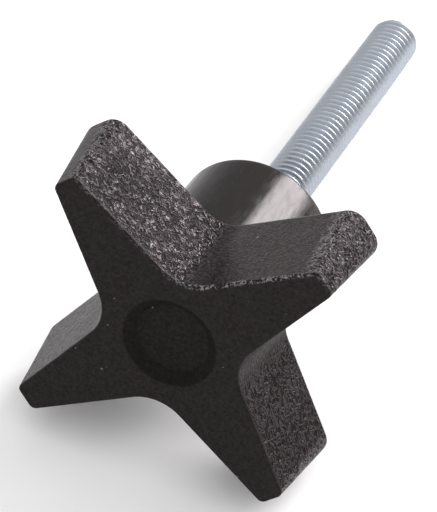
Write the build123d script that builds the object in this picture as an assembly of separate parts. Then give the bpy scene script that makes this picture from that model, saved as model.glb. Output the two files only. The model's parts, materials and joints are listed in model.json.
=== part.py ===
from build123d import *

import os
from math import asin, atan2, cos, degrees, hypot, radians, sin, tan

# Star knob with a moulded-in threaded stud, lying on the floor as it comes to
# rest: on the back corners of two arms and on the end of the stud.
# It is built along its own axis, with the front face at z = 0 and the stud
# pointing up, and laid down at the end. All sizes are in millimetres.

# Stud: a 3/8-16 x 4 in hex bolt, 3 in of which stand out of the hub.
INCH = 25.4
STUD_RADIUS = 3 / 8 * INCH / 2
STUD_EXPOSED = 3 * INCH
STUD_EMBEDDED = 1 * INCH
STUD_CHAMFER = 0.9
THREAD_PITCH = INCH / 16
BOLT_HEAD_FLATS = 9 / 16 * INCH
BOLT_HEAD_HEIGHT = 15 / 64 * INCH

# Star: four tapered arms. Its outline is given at the front face, and grows
# towards the back by the mould's draft.
ARMS = 4
STAR_THICKNESS = 18.0
DRAFT_ANGLE = 6.6
ARM_REACH = 33.6
ARM_TIP_HALF_WIDTH = 2.4
ARM_SIDE_ANGLE = 12.5
ARM_CORNER_RADIUS = 1.2
ROOT_RADIUS = 8.2
FRONT_EDGE_ROUND = 0.35
BACK_EDGE_ROUND = 0.7

# Hub: a boss behind the star that carries the stud's seat. It starts a little
# way inside the star, below the rounded back edges of the roots.
HUB_LENGTH = 21.7
HUB_BASE_RADIUS = 14.45
HUB_SEAT_RADIUS = 14.3
HUB_EDGE_ROUND = 1.0
HUB_SUNK = 0.8

# Recess: the shallow dished centre of the front face.
RECESS_RIM_RADIUS = 8.6
RECESS_FLOOR_RADIUS = 6.6
RECESS_DEPTH = 1.7

# Sizes that follow from those above. A rolled thread rises out of a blank of
# its pitch diameter, which is what the plain shank inside the hub keeps.
SHANK_RADIUS = STUD_RADIUS - 3 / 8 * THREAD_PITCH * cos(radians(30))
HUB_SEAT = STAR_THICKNESS + HUB_LENGTH
STUD_END = HUB_SEAT + STUD_EXPOSED
BOLT_HEAD_SEAT = HUB_SEAT - STUD_EMBEDDED
BACK_GROWTH = STAR_THICKNESS * tan(radians(DRAFT_ANGLE))
ARM_SPACING = 360 / ARMS

ON_ITS_BASE = (Align.CENTER, Align.CENTER, Align.MIN)


def arm_half_width(reach, growth):
    """Half width of an arm at a distance from the axis, for a grown outline."""
    taper = tan(radians(ARM_SIDE_ANGLE))
    side_shift = growth / cos(radians(ARM_SIDE_ANGLE))
    return ARM_TIP_HALF_WIDTH + (ARM_REACH - reach) * taper + side_shift


def root_corner(growth):
    """Distance along an arm at which its side meets its neighbour's side."""
    taper = tan(radians(ARM_SIDE_ANGLE))
    half_spacing = tan(radians(ARM_SPACING / 2))
    return arm_half_width(0, growth) / (half_spacing + taper)


def star_outline(growth):
    """The star's outline, moved outwards by growth on every side."""
    tip = ARM_REACH + growth
    tip_half_width = arm_half_width(tip, growth)
    root = root_corner(growth)
    root_half_width = arm_half_width(root, growth)

    # The first arm's tip corners and one root, repeated around the axis, with
    # the arms at half a spacing so that two of them point at the floor.
    arm_points = [
        Vector(tip, -tip_half_width),
        Vector(tip, tip_half_width),
        Vector(root, root_half_width),
    ]
    corners = []
    for arm in range(ARMS):
        turn = (arm + 0.5) * ARM_SPACING
        for point in arm_points:
            corners.append(point.rotate(Axis.Z, turn))

    outline = make_face(Polyline(*corners, close=True))
    by_distance = outline.vertices().sort_by_distance((0, 0, 0))
    roots = by_distance[:ARMS]
    outline = fillet(roots, ROOT_RADIUS - growth)
    tips = outline.vertices().sort_by_distance((0, 0, 0))[-2 * ARMS:]
    return fillet(tips, ARM_CORNER_RADIUS + growth)


def star():
    """The drafted star, with its front and back edges broken."""
    front = star_outline(0)
    back = Pos(0, 0, STAR_THICKNESS) * star_outline(BACK_GROWTH)
    body = loft([front, back], ruled=True)
    front_edges = body.faces().sort_by(Axis.Z)[0].outer_wire().edges()
    body = fillet(front_edges, FRONT_EDGE_ROUND)
    back_edges = body.faces().sort_by(Axis.Z)[-1].outer_wire().edges()
    return fillet(back_edges, BACK_EDGE_ROUND)


def hub():
    """The boss behind the star, slightly tapered, with a rounded seat edge."""
    boss = Cone(HUB_BASE_RADIUS, HUB_SEAT_RADIUS, HUB_LENGTH + HUB_SUNK, align=ON_ITS_BASE)
    seat_edge = boss.edges().sort_by(Axis.Z)[-1]
    return Pos(0, 0, STAR_THICKNESS - HUB_SUNK) * fillet(seat_edge, HUB_EDGE_ROUND)


def recess():
    """The space of the shallow recess in the front face."""
    return Cone(RECESS_RIM_RADIUS, RECESS_FLOOR_RADIUS, RECESS_DEPTH, align=ON_ITS_BASE)


def stud():
    """The bolt: its hex head and plain shank inside the hub, and outside it the
    thread as a cylinder of its outside diameter, chamfered at the free end."""
    head_outline = RegularPolygon(BOLT_HEAD_FLATS / 2, 6, major_radius=False)
    head = extrude(head_outline, BOLT_HEAD_HEIGHT)
    shank = Cylinder(SHANK_RADIUS, STUD_EMBEDDED, align=ON_ITS_BASE)
    thread = Cylinder(STUD_RADIUS, STUD_EXPOSED, align=ON_ITS_BASE)
    free_end = thread.edges().sort_by(Axis.Z)[-1]
    thread = chamfer(free_end, STUD_CHAMFER)
    bolt = Pos(0, 0, BOLT_HEAD_SEAT - BOLT_HEAD_HEIGHT) * head
    bolt += Pos(0, 0, BOLT_HEAD_SEAT) * shank
    bolt += Pos(0, 0, HUB_SEAT) * thread
    return bolt


def lean_angle():
    """How far the axis tips down from level when two arms and the stud's end
    touch the floor. The arm touches with the rounded back edge of its corner."""
    # The corner's centre line, half way between two arms' directions.
    corner_reach = ARM_REACH - ARM_CORNER_RADIUS
    slant = radians(ARM_SIDE_ANGLE)
    corner_half_width = arm_half_width(corner_reach, 0) - ARM_CORNER_RADIUS / cos(slant)
    down = radians(ARM_SPACING / 2)
    corner_centre_drop = corner_reach * cos(down) + corner_half_width * sin(down)

    # The centre of the rounded back edge, below the axis and along it.
    draft = radians(DRAFT_ANGLE)
    round_height = STAR_THICKNESS - BACK_EDGE_ROUND
    side_drop = corner_centre_drop + ARM_CORNER_RADIUS + round_height * tan(draft)
    round_drop = side_drop - BACK_EDGE_ROUND / cos(draft)

    # The line from the stud's end that touches that round.
    run = STUD_END - STUD_CHAMFER - round_height
    fall = round_drop - STUD_RADIUS
    return degrees(atan2(fall, run) + asin(BACK_EDGE_ROUND / hypot(fall, run)))


def main():
    bolt = stud()
    head = star() + hub() - recess() - bolt

    # Lay the knob down with the stud running towards +Y, and put the origin
    # under the middle of the whole part, on the floor.
    lie_down = Rot(X=-90 - lean_angle())
    lying = Compound(children=[lie_down * head, lie_down * bolt])
    box = lying.bounding_box()
    onto_floor = Pos(-box.center().X, -box.center().Y, -box.min.Z)
    os.makedirs("parts", exist_ok=True)
    export_step(onto_floor * lie_down * head, "parts/star_head.step")
    export_step(onto_floor * lie_down * bolt, "parts/threaded_stud.step")


main()
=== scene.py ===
import json
from math import ceil, cos, pi, radians, sin, tan

import bmesh
import bpy
import numpy as np
from mathutils import Matrix, Vector


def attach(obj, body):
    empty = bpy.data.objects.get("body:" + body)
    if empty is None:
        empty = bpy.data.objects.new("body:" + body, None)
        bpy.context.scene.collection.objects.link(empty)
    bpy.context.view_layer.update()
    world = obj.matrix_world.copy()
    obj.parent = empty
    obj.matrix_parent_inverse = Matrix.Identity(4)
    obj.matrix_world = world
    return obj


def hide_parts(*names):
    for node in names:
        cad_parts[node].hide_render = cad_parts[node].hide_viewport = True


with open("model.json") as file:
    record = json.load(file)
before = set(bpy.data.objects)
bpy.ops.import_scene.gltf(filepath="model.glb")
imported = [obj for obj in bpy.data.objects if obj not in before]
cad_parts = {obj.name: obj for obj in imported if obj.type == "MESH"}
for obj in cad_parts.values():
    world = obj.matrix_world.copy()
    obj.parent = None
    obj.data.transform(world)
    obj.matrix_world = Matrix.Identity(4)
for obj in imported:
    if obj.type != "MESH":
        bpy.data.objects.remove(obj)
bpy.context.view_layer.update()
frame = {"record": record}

# Star knob with a threaded stud, lying on a pale floor. The head and the stud
# are meshed here along the knob's own axis, in metres: the front face is at
# z = 0 and the stud points along +Z. KNOB_TO_ROW then lays them on the frame.

MM = 0.001

# Star head, as in the CAD source.
ARMS = 4
STAR_THICKNESS = 18.0 * MM
DRAFT = radians(6.6)
ARM_REACH = 33.6 * MM
ARM_TIP_HALF_WIDTH = 2.4 * MM
ARM_SIDE_ANGLE = radians(12.5)
ARM_CORNER_RADIUS = 1.2 * MM
ROOT_RADIUS = 8.2 * MM
FRONT_EDGE_ROUND = 0.35 * MM
BACK_EDGE_ROUND = 0.7 * MM
HUB_LENGTH = 21.7 * MM
HUB_BASE_RADIUS = 14.45 * MM
HUB_SEAT_RADIUS = 14.3 * MM
HUB_EDGE_ROUND = 1.0 * MM
HUB_SUNK = 0.8 * MM
HUB_SEAT = STAR_THICKNESS + HUB_LENGTH
RECESS_RIM_RADIUS = 8.6 * MM
RECESS_FLOOR_RADIUS = 6.6 * MM
RECESS_DEPTH = 1.7 * MM

# Stud: 3/8-16 UNC, with a hexagonal bolt head inside the hub.
STUD_RADIUS = 4.7625 * MM
STUD_LENGTH = 76.2 * MM
END_ROUND_LENGTH = 1.9 * MM
END_ROUND_DEPTH = 1.35 * MM
END_ROUND_POWER = 1.7
PITCH = 1.5875 * MM
THREAD_DEPTH = 0.6134 * PITCH
SHANK_RADIUS = STUD_RADIUS - 3 / 8 * PITCH * cos(pi / 6)
STUD_EMBEDDED = 25.4 * MM
BOLT_HEAD_SIDES = 6
BOLT_HEAD_FLATS = 14.2875 * MM
BOLT_HEAD_HEIGHT = 5.953 * MM

# The thread's root and crest, as shares of half a pitch, and how far the
# flank between them goes from straight (0) to S-shaped (1).
ROOT_FLAT = 0.14
CREST_FLAT = 0.06
FLANK_ROUNDING = 0.35

# Small forms that only these meshes have.
SEAT_DIP_RADIUS = 6 * MM
SEAT_DIP_DEPTH = 0.2 * MM
GRAIN_DEPTH = 0.055 * MM
NICK_DEPTH = 0.10 * MM
UNGRAINED_EDGE = 0.8 * MM

# How fine the meshes are. COVERED_RADIUS is where the star's back face and the
# hub's base end in a flat cap that the other one covers.
FLANK_STEP = 0.3 * MM
CORNER_POINTS = 8
TIP_POINTS = 8
SIDE_POINTS = 66
ROOT_POINTS = 34
RECESS_FLOOR_RINGS = 8
FRONT_FACE_RINGS = 20
FRONT_EDGE_RINGS = 5
BACK_EDGE_RINGS = 6
BACK_FACE_RINGS = 6
COVERED_RADIUS = 5 * MM
HUB_POINTS = 160
HUB_SIDE_RINGS = 8
HUB_EDGE_RINGS = 9
THREAD_POINTS = 72
THREAD_ROWS_PER_PITCH = 14
SHANK_POINTS = 48
WELD_DISTANCE = 0.002 * MM

# How the flanks vary around the star, as (place, value) stops. A place counts
# arms from one tip's low corner to the next, and 2 is the arm that points up
# and to the left. The mould's grain is coarse on most flanks, and finer on two
# arms' ends and sides and in the root on the right.
COARSENESS = (
    (1.12, 0.7), (1.14, 0.4), (1.50, 0.4), (1.60, 0.7), (1.98, 0.7), (2.00, 0.15),
    (2.07, 0.15), (2.09, 1.0), (2.50, 1.0), (2.60, 0.12), (2.96, 0.12), (2.98, 0.8),
    (3.47, 0.7), (3.52, 0.15), (3.61, 0.15), (3.68, 0.55), (3.98, 0.55),
)
# Painted shade: where these values are lower, the sides are darker in colour and in shine, as if less
# light fell on them.
PAINTED_SIDE_LIGHT = (
    (0.00, 1.0), (1.10, 1.0), (1.14, 0.7), (1.55, 0.7), (1.60, 1.0), (1.98, 1.0),
    (2.00, 0.5), (2.07, 0.5), (2.09, 1.0), (2.96, 1.0), (2.98, 0.9), (3.47, 0.8),
    (3.52, 0.75), (3.60, 0.7), (3.68, 0.38), (3.98, 0.38), (4.00, 1.0),
)
# The front edge is torn pale along the arm that points to the right.
TORN_EDGE = (
    (2.10, 0.0), (2.14, 0.5), (2.20, 0.2), (2.48, 0.2), (2.58, 1.0), (2.97, 1.0),
    (3.02, 0.5), (3.10, 0.0),
)
# Painted highlight: pale glints along the corners of the two upper arms' ends.
CORNER_GLINTS = (
    (2.08, 0.0), (2.10, 0.35), (2.12, 0.35), (2.15, 0.0), (2.955, 0.0), (2.98, 0.6),
    (3.01, 0.6), (3.03, 0.0),
)

# Colours: most are pairs, between which a noise mixes.
FACE_BLACKS = (0.0058, 0.0052, 0.0050, 1), (0.0166, 0.0146, 0.0140, 1)
# The flanks' pair goes from black with painted shade in the crevices to a pale painted glint on the
# crests.
FLANK_SHADE_AND_GLINT = (0.0066, 0.0044, 0.0042, 1), (0.054, 0.043, 0.046, 1)
# Pale marks: real scuffs and specks, and painted glints along the upper arms' end corners.
PALE_SCUFF_AND_GLINT = (0.20, 0.18, 0.19, 1)
HUB_BLACKS = (0.0062, 0.0048, 0.0046, 1), (0.0095, 0.0074, 0.0072, 1)
HUB_SPECK = (0.16, 0.14, 0.14, 1)
ZINC_TONES = (0.385, 0.42, 0.48, 1), (0.46, 0.49, 0.535, 1)
PAPER_WHITES = (0.94, 0.94, 0.94, 1), (0.96, 0.96, 0.96, 1)

# Stage. A dark opening in the room is given by its azimuth, its elevation and
# the half angles of its soft edge and of its dark core, in degrees.
FLOOR_HALF_WIDTH = 3.0
LIT_POINT = Vector((0, -0.03, 0.03))
ROOM_TINT = (1.0, 0.99, 0.99, 1)
ROOM_LIGHT = 0.80
OPENING_LIGHT = 0.10
DARK_OPENINGS = ((42, 2, 22, 13), (150, 12, 11, 5))
CAMERA_LENS = 221.81
CAMERA_PLACE = (0.114397, -0.376171, 0.442317)
CAMERA_TURN = (41.1229, -4.8951, 24.0694)


def knob_to_row():
    """The matrix from the knob's own axes to the row's, from the stud mount."""
    mount = next(m for m in frame["record"]["mounts"] if m["name"] == "stud")
    axis = Vector(mount["axis"]).normalized()
    side = Vector((1, 0, 0))
    across = axis.cross(side)
    turn = Matrix((side, across, axis)).transposed().to_4x4()
    face_centre = Vector(mount["pos_m"]) - axis * HUB_SEAT
    return Matrix.Translation(face_centre) @ turn


KNOB_TO_ROW = knob_to_row()


# Mesh helpers ---------------------------------------------------------------

def smooth_step(low, high, values):
    """Rises smoothly from 0 to 1 while the values go from low to high."""
    t = np.clip((values - low) / (high - low), 0, 1)
    return t * t * (3 - 2 * t)


def lattice_noise(points, size, seed):
    """Smooth noise from -1 to 1 at each point, with bumps about size across."""
    table = np.random.default_rng(seed).uniform(-1, 1, 4096)
    strides = np.array([73, 1031, 3911])
    cell = points / size
    base = np.floor(cell).astype(int)
    part = smooth_step(0, 1, cell - base)
    total = np.zeros(len(points))
    for corner in np.ndindex(2, 2, 2):
        weight = np.prod(np.where(np.array(corner) == 1, part, 1 - part), axis=1)
        total += weight * table[(base + corner) @ strides % len(table)]
    return total


def ring_faces(rings, around):
    """Quads between closed rings of equal length, listed one ring at a time."""
    faces = []
    for ring in range(rings - 1):
        low = ring * around
        for i in range(around):
            j = (i + 1) % around
            faces.append((low + i, low + j, low + around + j, low + around + i))
    return faces


def end_caps(rings, around):
    """The two faces that close the first and the last ring."""
    last = (rings - 1) * around
    return [tuple(reversed(range(around))), tuple(range(last, last + around))]


def revolved(profile, around):
    """Points and faces of a row of (radius, height) turned round Z and closed
    with a flat cap at both ends."""
    angles = np.arange(around) * 2 * pi / around
    points = []
    for radius, height in profile:
        for angle in angles:
            points.append((radius * cos(angle), radius * sin(angle), height))
    return points, ring_faces(len(profile), around) + end_caps(len(profile), around)


def make_object(name, points, faces, material, values=None):
    """A mesh object laid down on the frame, with named values on its points."""
    mesh = bpy.data.meshes.new(name)
    mesh.from_pydata([tuple(p) for p in points], [], faces)
    mesh.transform(KNOB_TO_ROW)
    mesh.validate()
    for value_name, numbers in (values or {}).items():
        layer = mesh.attributes.new(value_name, "FLOAT", "POINT")
        layer.data.foreach_set("value", numbers)
    mesh.materials.append(material)
    mesh.shade_smooth()
    piece = bpy.data.objects.new(name, mesh)
    bpy.context.collection.objects.link(piece)
    return piece


def weld(piece):
    """Merges points that coincide and drops the faces that vanish with them."""
    mesh = bmesh.new()
    mesh.from_mesh(piece.data)
    bmesh.ops.remove_doubles(mesh, verts=mesh.verts, dist=WELD_DISTANCE)
    mesh.to_mesh(piece.data)
    mesh.free()


# Star -----------------------------------------------------------------------

def arm_half_width(reach, growth):
    """Half an arm's width at a distance from the axis, with the outline moved
    outwards by growth."""
    side_shift = growth / cos(ARM_SIDE_ANGLE)
    return ARM_TIP_HALF_WIDTH + (ARM_REACH - reach) * tan(ARM_SIDE_ANGLE) + side_shift


def rounded_corner(before, corner, after, radius, steps):
    """Points along the arc that rounds one corner of the outline."""
    to_before = (before - corner) / np.linalg.norm(before - corner)
    to_after = (after - corner) / np.linalg.norm(after - corner)
    half = np.arccos(to_before @ to_after) / 2
    middle = (to_before + to_after) / np.linalg.norm(to_before + to_after)
    centre = corner + middle * radius / sin(half)
    start = corner + to_before * radius / tan(half) - centre
    end = corner + to_after * radius / tan(half) - centre
    start_angle = np.arctan2(start[1], start[0])
    sweep = (np.arctan2(end[1], end[0]) - start_angle + pi) % (2 * pi) - pi
    angles = start_angle + sweep * np.linspace(0, 1, steps)
    return centre + radius * np.stack([np.cos(angles), np.sin(angles)], 1)


def straight(start, end, steps):
    """Points between start and end, without these two."""
    return start + (end - start) * np.linspace(0, 1, steps + 2)[1:-1, None]


def star_outline(growth):
    """The star's outline moved outwards by growth: points in order around the
    axis, always the same number, whatever the growth."""
    tip = ARM_REACH + growth
    tip_half = arm_half_width(tip, growth)
    tip_radius = ARM_CORNER_RADIUS + growth
    root = arm_half_width(0, growth) / (1 + tan(ARM_SIDE_ANGLE))
    root_before = np.array([root, -root])
    tip_low = np.array([tip, -tip_half])
    tip_high = np.array([tip, tip_half])
    root_after = np.array([root, root])
    next_tip = np.array([tip_half, tip])
    low_corner = rounded_corner(root_before, tip_low, tip_high, tip_radius, CORNER_POINTS)
    high_corner = rounded_corner(tip_low, tip_high, root_after, tip_radius, CORNER_POINTS)
    bottom = rounded_corner(tip_high, root_after, next_tip, ROOT_RADIUS - growth, ROOT_POINTS)
    next_low = low_corner @ np.array([[0, 1], [-1, 0]])
    arm = np.concatenate([
        low_corner,
        straight(low_corner[-1], high_corner[0], TIP_POINTS),
        high_corner,
        straight(high_corner[-1], bottom[0], SIDE_POINTS),
        bottom,
        straight(bottom[-1], next_low[0], SIDE_POINTS),
    ])
    outline = []
    for index in range(ARMS):
        turn = (index + 0.5) * 2 * pi / ARMS
        rotation = np.array([[cos(turn), sin(turn)], [-sin(turn), cos(turn)]])
        outline.append(arm @ rotation)
    return np.concatenate(outline)


def star_profile():
    """The flank from front to back as (height, growth) rows: the front edge's
    rounding, the drafted side and the back edge's rounding."""
    rows = []
    lean = tan(DRAFT)
    centre = FRONT_EDGE_ROUND * lean - FRONT_EDGE_ROUND / cos(DRAFT)
    for angle in np.linspace(0, pi / 2 - DRAFT, FRONT_EDGE_RINGS):
        rows.append((FRONT_EDGE_ROUND * (1 - cos(angle)), centre + FRONT_EDGE_ROUND * sin(angle)))
    top = STAR_THICKNESS - BACK_EDGE_ROUND
    for height in np.linspace(0.5 * MM, top - 0.2 * MM, ceil(STAR_THICKNESS / FLANK_STEP)):
        rows.append((height, height * lean))
    centre = top * lean - BACK_EDGE_ROUND / cos(DRAFT)
    for angle in np.linspace(-DRAFT, pi / 2, BACK_EDGE_RINGS):
        rows.append((top + BACK_EDGE_ROUND * sin(angle), centre + BACK_EDGE_ROUND * cos(angle)))
    return rows


def ring_bands(outer, inner, rings):
    """Rings that shrink evenly from outer to inner, without outer itself."""
    return [outer + (inner - outer) * t for t in np.linspace(0, 1, rings + 1)[1:]]


def circle_under(outline, radius):
    """Points on a circle at the same angles as the outline's points."""
    return outline * (radius / np.linalg.norm(outline, axis=1))[:, None]


def star_mesh():
    """Points, faces and painted values of the star: a fine grid from the
    recess over the front face and the flanks to the back face's middle. Each
    ring has three values: on the flank, near the front edge, in the recess."""
    profile = star_profile()
    front = star_outline(profile[0][1])
    back = star_outline(profile[-1][1])
    rings, values = [], []

    def add(outline, height, flank=0, rim=0, recess=0):
        rings.append(np.column_stack([outline, np.full(len(outline), height)]))
        values.append((flank, rim, recess))

    # The recess, from its middle to its rim.
    floor_middle = circle_under(front, 0.4 * MM)
    floor_edge = circle_under(front, RECESS_FLOOR_RADIUS - 0.2 * MM)
    for ring in reversed(ring_bands(floor_edge, floor_middle, RECESS_FLOOR_RINGS)):
        add(ring, RECESS_DEPTH, recess=0.6)
    add(floor_edge, RECESS_DEPTH, recess=0.6)
    for radius, height, recess in (
        (RECESS_FLOOR_RADIUS - 0.1 * MM, RECESS_DEPTH, 0.6),
        (RECESS_FLOOR_RADIUS, RECESS_DEPTH - 0.02 * MM, 1),
        (RECESS_FLOOR_RADIUS + 0.12 * MM, RECESS_DEPTH - 0.12 * MM, 1),
        (RECESS_RIM_RADIUS - 0.08 * MM, 0.15 * MM, 1),
        (RECESS_RIM_RADIUS + 0.04 * MM, 0.03 * MM, 0.5),
    ):
        add(circle_under(front, radius), height, recess=recess)

    # The front face. Its last ring lies just inside the outline, so that the
    # flank's values fade out before the face proper.
    rim_circle = circle_under(front, RECESS_RIM_RADIUS + 0.15 * MM)
    inner_front = star_outline(profile[0][1] - 0.4 * MM)
    add(rim_circle, 0)
    for ring in reversed(ring_bands(inner_front, rim_circle, FRONT_FACE_RINGS)[:-1]):
        add(ring, 0)
    add(inner_front, 0)

    # The flank, and the back face as far as the hub covers it.
    for height, growth in profile:
        rim = 1 - smooth_step(0.35 * MM, 0.9 * MM, height)
        add(star_outline(growth), height, flank=1, rim=rim)
    for ring in ring_bands(back, circle_under(back, COVERED_RADIUS), BACK_FACE_RINGS):
        add(ring, STAR_THICKNESS)

    around = len(front)
    faces = ring_faces(len(rings), around) + end_caps(len(rings), around)
    painted = np.repeat(np.array(values, float), around, axis=0).T
    return np.concatenate(rings), faces, painted


def outward_directions():
    """The level direction away from the star at each point of its outline."""
    outward = star_outline(0.1 * MM) - star_outline(0)
    outward /= np.linalg.norm(outward, axis=1)[:, None]
    return np.column_stack([outward, np.zeros(len(outward))])


def around_star(stops, around):
    """A value for each point around the outline, drawn straight between stops."""
    place = np.arange(around) * ARMS / around
    return np.interp(place, *zip(*stops))


def star():
    """The star, with the flanks' grain and the front edge's nicks as relief."""
    points, faces, (flank, rim, recess) = star_mesh()
    outward = outward_directions()
    around = len(outward)
    rings = len(points) // around
    height = points[:, 2]
    # The second table paints shade on some sides, and the fourth paints pale glints along two
    # corners.
    coarse, painted_side_light, torn, corner_glints = (
        np.tile(around_star(stops, around), rings)
        for stops in (COARSENESS, PAINTED_SIDE_LIGHT, TORN_EDGE, CORNER_GLINTS)
    )
    # Real wear along the torn front edge, with painted glints along two corners.
    wear_and_glints = np.maximum(torn * rim, corner_glints * flank)

    grain = 0.6 * lattice_noise(points, 0.85 * MM, 1) + 0.5 * lattice_noise(points, 0.5 * MM, 2)
    off_front = smooth_step(0, UNGRAINED_EDGE, height)
    off_back = smooth_step(0, UNGRAINED_EDGE, STAR_THICKNESS - height)
    relief = flank * off_front * off_back * coarse * (grain - 0.9) * GRAIN_DEPTH
    nicks = smooth_step(0.35, 0.9, lattice_noise(points, 1.1 * MM, 5))
    relief -= nicks * rim * (0.25 + wear_and_glints) * NICK_DEPTH

    # The flank's look begins at a wavy line just behind the front edge.
    border = 0.5 * MM + 0.3 * MM * lattice_noise(points, 0.9 * MM, 11)
    values = {
        "flank": flank * smooth_step(-0.3 * MM, 0.3 * MM, height - border),
        "coarse": flank * coarse,
        "painted_side_light": painted_side_light,
        "wear_and_glints": wear_and_glints,
        "recess": recess,
    }
    points = points + np.tile(outward, (rings, 1)) * relief[:, None]
    return make_object("star", points, faces, moulded_plastic(), values)


# Hub and stud ---------------------------------------------------------------

def hub():
    """The round hub, from inside the star to its seat, which dips a little
    towards the stud."""
    bottom = STAR_THICKNESS - HUB_SUNK
    profile = [(COVERED_RADIUS, bottom), (HUB_BASE_RADIUS, bottom)]
    for share in np.linspace(0.05, 0.95, HUB_SIDE_RINGS):
        radius = HUB_BASE_RADIUS + (HUB_SEAT_RADIUS - HUB_BASE_RADIUS) * share
        profile.append((radius, bottom + share * (HUB_SEAT - HUB_EDGE_ROUND - bottom)))
    for angle in np.linspace(0, pi / 2, HUB_EDGE_RINGS):
        profile.append((
            HUB_SEAT_RADIUS - HUB_EDGE_ROUND * (1 - cos(angle)),
            HUB_SEAT - HUB_EDGE_ROUND * (1 - sin(angle)),
        ))
    profile.append((SEAT_DIP_RADIUS, HUB_SEAT))
    profile.append((STUD_RADIUS, HUB_SEAT - SEAT_DIP_DEPTH))
    points, faces = revolved(profile, HUB_POINTS)
    return make_object("hub", points, faces, hub_plastic())


def thread_radius(turns):
    """The rolled thread's radius, for a place counted in pitches."""
    place = np.abs((turns % 1) - 0.5) * 2
    flank = np.clip((place - ROOT_FLAT) / (1 - ROOT_FLAT - CREST_FLAT), 0, 1)
    rise = FLANK_ROUNDING * smooth_step(0, 1, flank) + (1 - FLANK_ROUNDING) * flank
    return STUD_RADIUS - THREAD_DEPTH * (1 - rise)


def end_rounding(distance):
    """How much the rounded free end is smaller, at a distance from its tip."""
    share = 1 - np.clip(distance / END_ROUND_LENGTH, 0, 1)
    return END_ROUND_DEPTH * share ** END_ROUND_POWER


def thread_grid():
    """Points and faces of the thread: a grid whose rows follow the helix, cut
    level at both ends, with the free end rounded."""
    around = THREAD_POINTS
    rows = (ceil(STUD_LENGTH / PITCH) + 2) * THREAD_ROWS_PER_PITCH
    sides = np.arange(around)
    angles = sides * 2 * pi / around
    rings = []
    for row in range(rows + 1):
        turns = row / THREAD_ROWS_PER_PITCH - 1 + sides / around
        level = np.clip(turns * PITCH, 0, STUD_LENGTH)
        envelope = STUD_RADIUS - end_rounding(STUD_LENGTH - level)
        radius = np.minimum(thread_radius(level / PITCH - sides / around), envelope)
        ring = [radius * np.cos(angles), radius * np.sin(angles), HUB_SEAT + level]
        rings.append(np.column_stack(ring))

    # Each row's last point joins the first point of the row one pitch on.
    faces = []
    for face in ring_faces(rows + 1, around):
        low, _, _, high = face
        if low % around == around - 1:
            first = low - around + 1 + THREAD_ROWS_PER_PITCH * around
            if first + around > rows * around:
                continue
            face = (low, first, first + around, high)
        faces.append(face)
    return list(np.concatenate(rings)), faces + end_caps(rows + 1, around)


def stud():
    """The thread, and the bolt's plain shank and hexagonal head in the hub."""
    points, faces = thread_grid()
    head_seat = HUB_SEAT - STUD_EMBEDDED
    head_radius = BOLT_HEAD_FLATS / 2 / cos(pi / BOLT_HEAD_SIDES)
    shank = [(SHANK_RADIUS, head_seat), (SHANK_RADIUS, HUB_SEAT + PITCH)]
    head = [(head_radius, head_seat - BOLT_HEAD_HEIGHT), (head_radius, head_seat)]
    for profile, around in ((shank, SHANK_POINTS), (head, BOLT_HEAD_SIDES)):
        more_points, more_faces = revolved(profile, around)
        first = len(points)
        points += more_points
        faces += [tuple(first + i for i in face) for face in more_faces]
    piece = make_object("stud", points, faces, zinc_plate())
    weld(piece)
    return piece


# Materials ------------------------------------------------------------------

class Nodes:
    """Short ways to add nodes to a node tree and to link them."""

    def __init__(self, tree):
        self.tree = tree

    def add(self, kind, **inputs):
        """A new node. Its inputs are named with _ for each space."""
        node = self.tree.nodes.new(kind)
        for socket, value in inputs.items():
            self.put(node.inputs[socket.replace("_", " ")], value)
        return node

    def put(self, socket, value):
        """Links the socket to another node's output, or sets its own value."""
        if isinstance(value, bpy.types.NodeSocket):
            self.tree.links.new(value, socket)
        else:
            socket.default_value = value

    def maths(self, operation, first, second=0.0):
        """The result of a Math node."""
        node = self.add("ShaderNodeMath")
        node.operation = operation
        self.put(node.inputs[0], first)
        self.put(node.inputs[1], second)
        return node.outputs[0]

    def ramp(self, value, low, high, to_low=0.0, to_high=1.0):
        """The value's stretch from low to high, mapped onto another one."""
        node = self.add("ShaderNodeMapRange", Value=value, From_Min=low, From_Max=high)
        self.put(node.inputs["To Min"], to_low)
        self.put(node.inputs["To Max"], to_high)
        return node.outputs["Result"]


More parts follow.
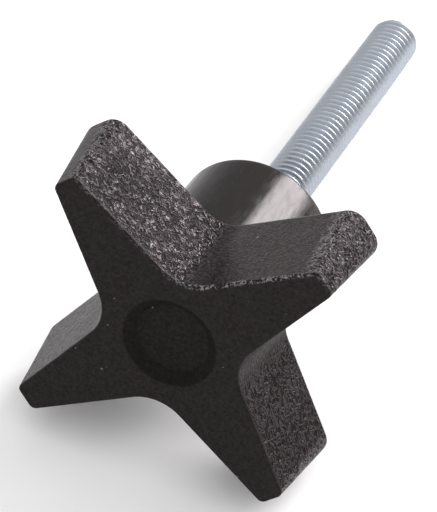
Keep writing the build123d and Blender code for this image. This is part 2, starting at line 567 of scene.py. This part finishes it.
class Shader(Nodes):
    """A material with a Principled shader, built up from noise and relief."""

    def __init__(self, name, **settings):
        self.material = bpy.data.materials.new(name)
        self.material.use_nodes = True
        super().__init__(self.material.node_tree)
        self.principled = self.tree.nodes["Principled BSDF"]
        for socket, value in settings.items():
            self.set(socket.replace("_", " "), value)
        self.place = self.add("ShaderNodeTexCoord").outputs["Object"]
        self.bumps = None

    def set(self, socket, value):
        """Sets or links one of the Principled shader's inputs."""
        self.put(self.principled.inputs[socket], value)

    def noise(self, size, detail=2.0, distortion=0.0, stretch=(1, 1, 1)):
        """Noise with features about size across."""
        place = self.add("ShaderNodeMapping", Vector=self.place, Scale=stretch).outputs[0]
        node = self.add("ShaderNodeTexNoise", Vector=place, Scale=0.5 / size, Detail=detail)
        self.put(node.inputs["Distortion"], distortion)
        return node.outputs["Fac"]

    def ridges(self, size):
        """Worm-like crests, about size apart: where a noise crosses its middle."""
        noise = self.noise(size, detail=1.0, distortion=0.8)
        off_middle = self.maths("ABSOLUTE", self.maths("SUBTRACT", noise, 0.5))
        return self.ramp(off_middle, 0.0, 0.12, 1.0, 0.0)

    def painted(self, name):
        """One of the named values on the mesh's points."""
        node = self.add("ShaderNodeAttribute")
        node.attribute_name = name
        return node.outputs["Fac"]

    def blend(self, factor, first, second):
        """A colour between first and second."""
        node = self.add("ShaderNodeMix")
        node.data_type = "RGBA"
        self.put(node.inputs["Factor"], factor)
        self.put(node.inputs[6], first)
        self.put(node.inputs[7], second)
        return node.outputs[2]

    def mix(self, factor, first, second):
        """A value between first and second."""
        node = self.add("ShaderNodeMix", Factor=factor)
        self.put(node.inputs[2], first)
        self.put(node.inputs[3], second)
        return node.outputs[0]

    def bump(self, height, depth, strength=1.0):
        """Adds relief of a depth in metres on top of the relief so far."""
        node = self.add("ShaderNodeBump", Height=height, Strength=strength, Distance=depth)
        if self.bumps is not None:
            self.put(node.inputs["Normal"], self.bumps)
        self.bumps = node.outputs["Normal"]
        self.set("Normal", self.bumps)

    def finish(self, colour, roughness):
        """The finished material."""
        self.set("Base Color", colour)
        self.set("Roughness", roughness)
        return self.material


def moulded_plastic():
    """Black glass-filled plastic: a fine leather grain on the front face, and on the
    flanks a worm-like spark-eroded grain, with painted glints on its crests and
    painted shade in its crevices."""
    shader = Shader("moulded_plastic", Specular_Tint=(1.0, 0.86, 0.93, 1))
    flank = shader.painted("flank")
    coarse = shader.maths("MULTIPLY", flank, shader.painted("coarse"))
    painted_side_light = shader.painted("painted_side_light")
    leather = shader.noise(0.30 * MM, distortion=0.8)
    worms = shader.ridges(0.52 * MM)
    crumbs = shader.noise(0.24 * MM)
    patches = shader.noise(4.5 * MM)
    shader.bump(leather, 0.10 * MM, shader.ramp(flank, 0, 1, 0.4, 0.0))
    shader.bump(crumbs, 0.08 * MM, shader.ramp(flank, 0, 1, 0.1, 0.8))
    shader.bump(worms, 0.22 * MM, coarse)

    # Painted glints make the crests paler than the crevices, which keep painted shade; the glints are
    # stronger in some patches and weaker on sides with painted shade.
    crest_glints = shader.maths("MULTIPLY", worms, coarse)
    crest_glints = shader.maths("MULTIPLY", crest_glints, shader.ramp(patches, 0.35, 0.65, 0.5, 1.0))
    crest_glints = shader.maths("ADD", crest_glints, shader.ramp(crumbs, 0.47, 0.66, 0.0, 0.42))
    face_colour = shader.blend(leather, *FACE_BLACKS)
    flank_colour = shader.blend(shader.maths("MULTIPLY", crest_glints, painted_side_light), *FLANK_SHADE_AND_GLINT)
    colour = shader.blend(flank, face_colour, flank_colour)
    # Pale marks: real scuffs along the torn front edge, painted glints along the upper arms' end
    # corners, and random specks.
    scuffs_and_glints = shader.ramp(shader.noise(0.28 * MM, distortion=1.0), 0.50, 0.62)
    scuffs_and_glints = shader.maths("MULTIPLY", scuffs_and_glints, shader.painted("wear_and_glints"))
    specks = shader.ramp(shader.noise(0.36 * MM, detail=0.0), 0.86, 0.89)
    colour = shader.blend(shader.maths("MAXIMUM", scuffs_and_glints, specks), colour, PALE_SCUFF_AND_GLINT)

    # Crevices reflect less than crests, and the recess less than the face.
    face_shine = shader.ramp(leather, 0.3, 0.7, 0.075, 0.175)
    recess_shade = shader.ramp(shader.painted("recess"), 0, 1, 1.0, 0.35)
    face_shine = shader.maths("MULTIPLY", face_shine, recess_shade)
    worm_shine = shader.ramp(worms, 0, 1, 0.04, 0.62)
    worm_shine = shader.maths("MULTIPLY", worm_shine, shader.ramp(patches, 0.35, 0.65, 0.75, 1.2))
    flank_shine = shader.maths("MULTIPLY", shader.mix(coarse, 0.17, worm_shine), painted_side_light)
    shader.set("Specular IOR Level", shader.mix(flank, face_shine, flank_shine))
    return shader.finish(colour, shader.ramp(flank, 0, 1, 0.50, 0.34))


def hub_plastic():
    """The same plastic off a polished part of the mould, streaked along the hub,
    with painted shade on its left, where its specular level falls."""
    shader = Shader("hub_plastic", Specular_Tint=(1.0, 0.88, 0.90, 1))
    across = shader.add("ShaderNodeSeparateXYZ", Vector=shader.place).outputs["X"]
    waves = shader.noise(3.0 * MM)
    streaks = shader.noise(0.40 * MM, stretch=(1.0, 0.07, 1.0))
    shader.bump(waves, 0.02 * MM, 0.3)
    shader.bump(streaks, 0.02 * MM, 0.5)
    specks = shader.ramp(shader.noise(0.4 * MM, detail=0.0), 0.87, 0.89)
    colour = shader.blend(specks, shader.blend(waves, *HUB_BLACKS), HUB_SPECK)
    # Painted shade: the specular level falls towards the hub's left, which darkens its reflection
    # there.
    left_shaded_shine = shader.ramp(across, -0.5 * HUB_BASE_RADIUS, 0.0, 0.05, 0.22)
    shader.set("Specular IOR Level", left_shaded_shine)
    return shader.finish(colour, shader.ramp(streaks, 0.3, 0.7, 0.15, 0.30))


def zinc_plate():
    """Bright blue-white zinc on rolled steel, a little clouded."""
    shader = Shader("zinc_plate", Metallic=1.0)
    cloud = shader.noise(2.2 * MM, detail=3.0)
    drawn = shader.noise(0.5 * MM, detail=3.0)
    shader.bump(drawn, 0.02 * MM, 0.4)
    colour = shader.blend(cloud, *ZINC_TONES)
    return shader.finish(colour, shader.ramp(drawn, 0.3, 0.7, 0.25, 0.33))


def floor_paper():
    """Matt white paper with faint fibres."""
    shader = Shader("floor_paper", Specular_IOR_Level=0.0)
    fibres = shader.noise(1.5 * MM, detail=3.0)
    shader.bump(fibres, 0.01 * MM, 0.2)
    return shader.finish(shader.blend(fibres, *PAPER_WHITES), 0.9)


# Stage, lights and camera ----------------------------------------------------

def add_floor():
    """A wide sheet of paper under the knob."""
    half = FLOOR_HALF_WIDTH
    corners = [(-half, -half, 0), (half, -half, 0), (half, half, 0), (-half, half, 0)]
    mesh = bpy.data.meshes.new("floor")
    mesh.from_pydata(corners, [], [(0, 1, 2, 3)])
    mesh.materials.append(floor_paper())
    floor = bpy.data.objects.new("floor", mesh)
    bpy.context.collection.objects.link(floor)


def direction(azimuth, elevation):
    """Azimuth 0 is behind the knob, at +Y, and 90 is at +X."""
    turn, rise = radians(azimuth), radians(elevation)
    return Vector((sin(turn) * cos(rise), cos(turn) * cos(rise), sin(rise)))


def add_room():
    """A pale room as the world, which the camera sees as plain white."""
    world = bpy.data.worlds.new("room")
    world.use_nodes = True
    bpy.context.scene.world = world
    room = Nodes(world.node_tree)

    # Dark openings beside the lights give the metal and the hub contrast.
    place = room.add("ShaderNodeTexCoord").outputs["Generated"]
    strength = ROOM_LIGHT
    for azimuth, elevation, edge, core in DARK_OPENINGS:
        towards = room.add("ShaderNodeVectorMath")
        towards.operation = "DOT_PRODUCT"
        room.put(towards.inputs[0], place)
        room.put(towards.inputs[1], direction(azimuth, elevation))
        edge_cosine, core_cosine = cos(radians(edge)), cos(radians(core))
        closeness = towards.outputs["Value"]
        strength = room.ramp(closeness, edge_cosine, core_cosine, strength, OPENING_LIGHT)

    walls = room.tree.nodes["Background"]
    room.put(walls.inputs["Color"], ROOM_TINT)
    room.put(walls.inputs["Strength"], strength)
    white = room.add("ShaderNodeBackground", Color=(1, 1, 1, 1), Strength=1.0)
    seen = room.add("ShaderNodeLightPath").outputs["Is Camera Ray"]
    switch = room.add("ShaderNodeMixShader")
    room.put(switch.inputs[0], seen)
    room.put(switch.inputs[1], walls.outputs[0])
    room.put(switch.inputs[2], white.outputs[0])
    room.put(room.tree.nodes["World Output"].inputs["Surface"], switch.outputs[0])


def add_softbox(name, azimuth, elevation, distance, width, height, power, colour=(1, 1, 1)):
    """A softbox that faces the knob: sizes and distance in metres, power in W."""
    light = bpy.data.lights.new(name, "AREA")
    light.shape = "RECTANGLE"
    light.size = width
    light.size_y = height
    light.energy = power
    light.color = colour
    lamp = bpy.data.objects.new(name, light)
    towards = direction(azimuth, elevation)
    lamp.location = LIT_POINT + towards * distance
    lamp.rotation_mode = "QUATERNION"
    lamp.rotation_quaternion = (-towards).to_track_quat("-Z", "Y")
    bpy.context.collection.objects.link(lamp)


def add_lights():
    """A window behind the knob, a wide ceiling, a narrow strip that draws
    dashes on the thread, and a weak warm light from the right."""
    add_softbox("window", 22, 21, 1.2, width=0.70, height=0.54, power=21, colour=(1.0, 0.98, 0.99))
    add_softbox("ceiling", 0, 88, 1.5, width=2.4, height=2.4, power=7)
    add_softbox("strip", 158, 24, 1.2, width=0.06, height=0.40, power=0.30)
    add_softbox("warm_side", 100, 20, 1.5, width=0.8, height=0.8, power=0.6, colour=(1.0, 0.90, 0.75))


def add_camera():
    """A long lens, above and to the right of the front face."""
    data = bpy.data.cameras.new("camera")
    data.lens = CAMERA_LENS
    data.sensor_width = 36
    data.clip_start = 0.01
    data.clip_end = 20
    camera = bpy.data.objects.new("camera", data)
    camera.location = CAMERA_PLACE
    camera.rotation_euler = [radians(angle) for angle in CAMERA_TURN]
    bpy.context.collection.objects.link(camera)
    bpy.context.scene.camera = camera


def main():
    """Builds and places everything."""
    head_parts = [star(), hub()]
    for piece in head_parts:
        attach(piece, "root")
        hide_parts("star_head")
    bolt = stud()
    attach(bolt, "root")
    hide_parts("threaded_stud")
    add_floor()
    add_room()
    add_lights()
    add_camera()
    bpy.context.scene.view_settings.view_transform = "Standard"


main()
